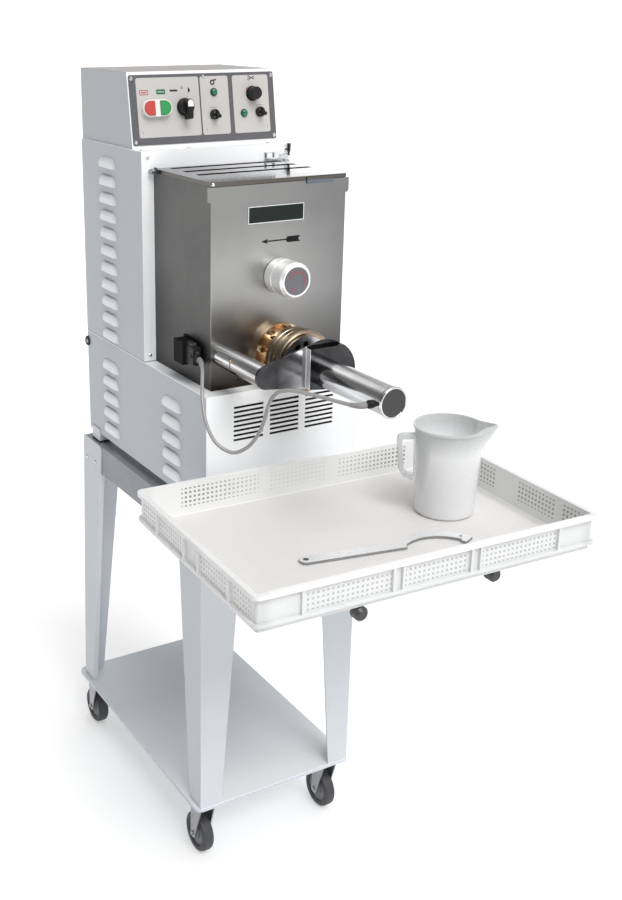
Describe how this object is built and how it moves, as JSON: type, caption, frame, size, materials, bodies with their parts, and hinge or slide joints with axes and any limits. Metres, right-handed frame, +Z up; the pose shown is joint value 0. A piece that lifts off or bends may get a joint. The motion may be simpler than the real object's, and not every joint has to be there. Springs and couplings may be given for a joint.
{
  "type": "electric pasta maker",
  "caption": "Floor-standing electric pasta extruder with a mixing hopper, a swing-away motor cutter, a sloping control head and a front tray on a wheeled stand.",
  "frame": {"origin": "on the floor, on the machine's middle plane, 72 mm behind the lower cabinet's front face", "axes": "+Z up, +X to the machine's right as seen from the front, +Y to the rear"},
  "size_m": [0.6158, 1.0124, 1.427],
  "materials": {
    "stand_paint": "satin grey-blue paint",
    "cabinet_paint": "satin grey-blue paint",
    "white_paint": "satin white paint",
    "head_paint": "satin light grey paint",
    "fascia_paint": "matt dark grey film",
    "hopper_steel": "fine brushed stainless steel",
    "lid_steel": "polished stainless steel",
    "guard_steel": "satin stainless steel",
    "chrome": "bright plated",
    "die_steel": "turned steel",
    "bronze": "turned bronze",
    "knob_aluminium": "turned aluminium",
    "zinc_plate": "zinc plated",
    "tyre": "dark rubber",
    "rubber": "matt",
    "cord_rubber": "matt",
    "black_plastic": "semi-gloss",
    "white_plastic": "semi-gloss",
    "red_plastic": "semi-gloss",
    "green_plastic": "semi-gloss",
    "plate_enamel": "gloss black, silver edge",
    "tray_plastic": "white moulded",
    "jug_plastic": "clear moulded",
    "motor_paint": "gloss paint",
    "cast_grey": "painted casting",
    "chain_steel": "oiled steel"
  },
  "bodies": {
    "machine": {"shelf": "stand_paint", "legs": "stand_paint", "rails": "stand_paint", "tray_rods": "chrome", "foot_pads": "rubber", "caster_plates": "zinc_plate", "lower_shell": "cabinet_paint", "lower_front": "white_paint", "upper_shell": "cabinet_paint", "head_case": "head_paint", "fascia": "fascia_paint", "button_bezel": "white_plastic", "switch_bases": "black_plastic", "lamp_lenses": "green_plastic", "case_screws": "chrome", "hopper_casing": "hopper_steel", "hopper_front": "hopper_steel", "hopper_trough": "hopper_steel", "lid_bosses": "hopper_steel", "name_plate": "plate_enamel", "extruder_barrel": "bronze", "flange_bolts": "chrome", "die": "die_steel", "arm_sleeve": "chrome", "socket_box": "black_plastic", "cord_plug": "black_plastic", "cutter_cord": "cord_rubber", "latch_bracket": "chrome", "drive_motor": "motor_paint", "bearing_block": "cast_grey", "drive_chain": "chain_steel"},
    "stop_button": {"stop_button": "red_plastic"},
    "start_button": {"start_button": "green_plastic"},
    "selector": {"selector_knob": "black_plastic"},
    "vent_toggle": {"vent_toggle": "black_plastic"},
    "cut_toggle": {"cut_toggle": "black_plastic"},
    "speed_knob": {"speed_knob": "black_plastic"},
    "lid": {"lid_grille": "lid_steel"},
    "latch": {"latch_lever": "chrome"},
    "mixer": {"mixer_shaft": "die_steel"},
    "mixer_knob": {"mixer_knob": "knob_aluminium"},
    "auger": {"auger": "die_steel"},
    "ring_nut": {"ring_nut": "bronze"},
    "cutter_arm": {"arm_tube": "chrome", "guard_plate": "guard_steel", "motor_tube": "chrome", "end_cap": "black_plastic", "cable_gland": "black_plastic"},
    "blade": {"cutter_blade": "die_steel"},
    "tray": {"tray": "tray_plastic"},
    "jug": {"jug": "jug_plastic"},
    "spanner": {"spanner": "die_steel"},
    "fork_front_left": {"fork_front_left": "zinc_plate"},
    "wheel_front_left": {"wheel_front_left": "tyre"},
    "fork_front_right": {"fork_front_right": "zinc_plate"},
    "wheel_front_right": {"wheel_front_right": "tyre"},
    "fork_rear_left": {"fork_rear_left": "zinc_plate"},
    "wheel_rear_left": {"wheel_rear_left": "tyre"},
    "fork_rear_right": {"fork_rear_right": "zinc_plate"},
    "wheel_rear_right": {"wheel_rear_right": "tyre"}
  },
  "joints": [
    {"name": "stop_press", "type": "slide", "parent": "machine", "child": "stop_button", "axis": [0, 0.9882, -0.1532], "range_m": [0, 0.003], "stiffness_N_per_m": 400},
    {"name": "start_press", "type": "slide", "parent": "machine", "child": "start_button", "axis": [0, 0.9882, -0.1532], "range_m": [0, 0.003], "stiffness_N_per_m": 400},
    {"name": "selector_turn", "type": "hinge", "parent": "machine", "child": "selector", "pos_m": [-0.041, 0.20698, 1.36604], "axis": [0, 0.9882, -0.1532], "range_deg": [-45, 45]},
    {"name": "vent_switch", "type": "hinge", "parent": "machine", "child": "vent_toggle", "pos_m": [0.018, 0.20577, 1.35105], "axis": [-1, 0, 0], "range_deg": [0, 28]},
    {"name": "cut_switch", "type": "hinge", "parent": "machine", "child": "cut_toggle", "pos_m": [0.113, 0.20592, 1.35204], "axis": [-1, 0, 0], "range_deg": [0, 28]},
    {"name": "speed_turn", "type": "hinge", "parent": "machine", "child": "speed_knob", "pos_m": [0.1, 0.21256, 1.3844], "axis": [0, 0.9882, -0.1532], "range_deg": [0, 270]},
    {"name": "lid_hinge", "type": "hinge", "parent": "machine", "child": "lid", "pos_m": [0, 0.149, 1.2655], "axis": [-1, 0, 0], "range_deg": [0, 65]},
    {"name": "latch_turn", "type": "hinge", "parent": "machine", "child": "latch", "pos_m": [0.114, 0.152, 1.2785], "axis": [0, -1, 0], "range_deg": [0, 90]},
    {"name": "auger_spin", "type": "hinge", "parent": "machine", "child": "auger", "pos_m": [0, 0, 0.978], "axis": [0, -1, 0], "continuous": true},
    {"name": "mixer_spin", "type": "hinge", "parent": "machine", "child": "mixer", "pos_m": [0, 0, 1.108], "axis": [0, -1, 0], "continuous": true},
    {"name": "mixer_knob_turn", "type": "hinge", "parent": "machine", "child": "mixer_knob", "pos_m": [0, -0.06, 1.108], "axis": [0, -1, 0], "continuous": true},
    {"name": "ring_nut_turn", "type": "hinge", "parent": "machine", "child": "ring_nut", "pos_m": [0, -0.11, 0.978], "axis": [0, -1, 0], "continuous": true},
    {"name": "arm_swing", "type": "hinge", "parent": "machine", "child": "cutter_arm", "pos_m": [-0.108, -0.06, 0.9835], "axis": [0, -1, 0], "range_deg": [0, 90]},
    {"name": "blade_spin", "type": "hinge", "parent": "cutter_arm", "child": "blade", "pos_m": [0, -0.15, 0.978], "axis": [0, 1, 0], "continuous": true},
    {"name": "tray_lift", "type": "slide", "parent": "machine", "child": "tray", "axis": [0, 0, 1], "range_m": [0, 0.08]},
    {"name": "jug_lift", "type": "slide", "parent": "tray", "child": "jug", "axis": [0, 0, 1], "range_m": [0, 0.3]},
    {"name": "spanner_lift", "type": "slide", "parent": "tray", "child": "spanner", "axis": [0, 0, 1], "range_m": [0, 0.1]},
    {"name": "swivel_front_left", "type": "hinge", "parent": "machine", "child": "fork_front_left", "pos_m": [-0.138, -0.036, 0.1], "axis": [0, 0, 1], "continuous": true},
    {"name": "roll_front_left", "type": "hinge", "parent": "fork_front_left", "child": "wheel_front_left", "pos_m": [-0.138, -0.022, 0.038], "axis": [1, 0, 0], "continuous": true},
    {"name": "swivel_front_right", "type": "hinge", "parent": "machine", "child": "fork_front_right", "pos_m": [0.138, -0.036, 0.1], "axis": [0, 0, 1], "continuous": true},
    {"name": "roll_front_right", "type": "hinge", "parent": "fork_front_right", "child": "wheel_front_right", "pos_m": [0.138, -0.022, 0.038], "axis": [1, 0, 0], "continuous": true},
    {"name": "swivel_rear_left", "type": "hinge", "parent": "machine", "child": "fork_rear_left", "pos_m": [-0.138, 0.448, 0.1], "axis": [0, 0, 1], "continuous": true},
    {"name": "roll_rear_left", "type": "hinge", "parent": "fork_rear_left", "child": "wheel_rear_left", "pos_m": [-0.138, 0.462, 0.038], "axis": [1, 0, 0], "continuous": true},
    {"name": "swivel_rear_right", "type": "hinge", "parent": "machine", "child": "fork_rear_right", "pos_m": [0.138, 0.448, 0.1], "axis": [0, 0, 1], "continuous": true},
    {"name": "roll_rear_right", "type": "hinge", "parent": "fork_rear_right", "child": "wheel_rear_right", "pos_m": [0.138, 0.462, 0.038], "axis": [1, 0, 0], "continuous": true}
  ],
  "couplings": [
    {"joint": "mixer_spin", "follows": "auger_spin", "ratio": 0.5}
  ]
}
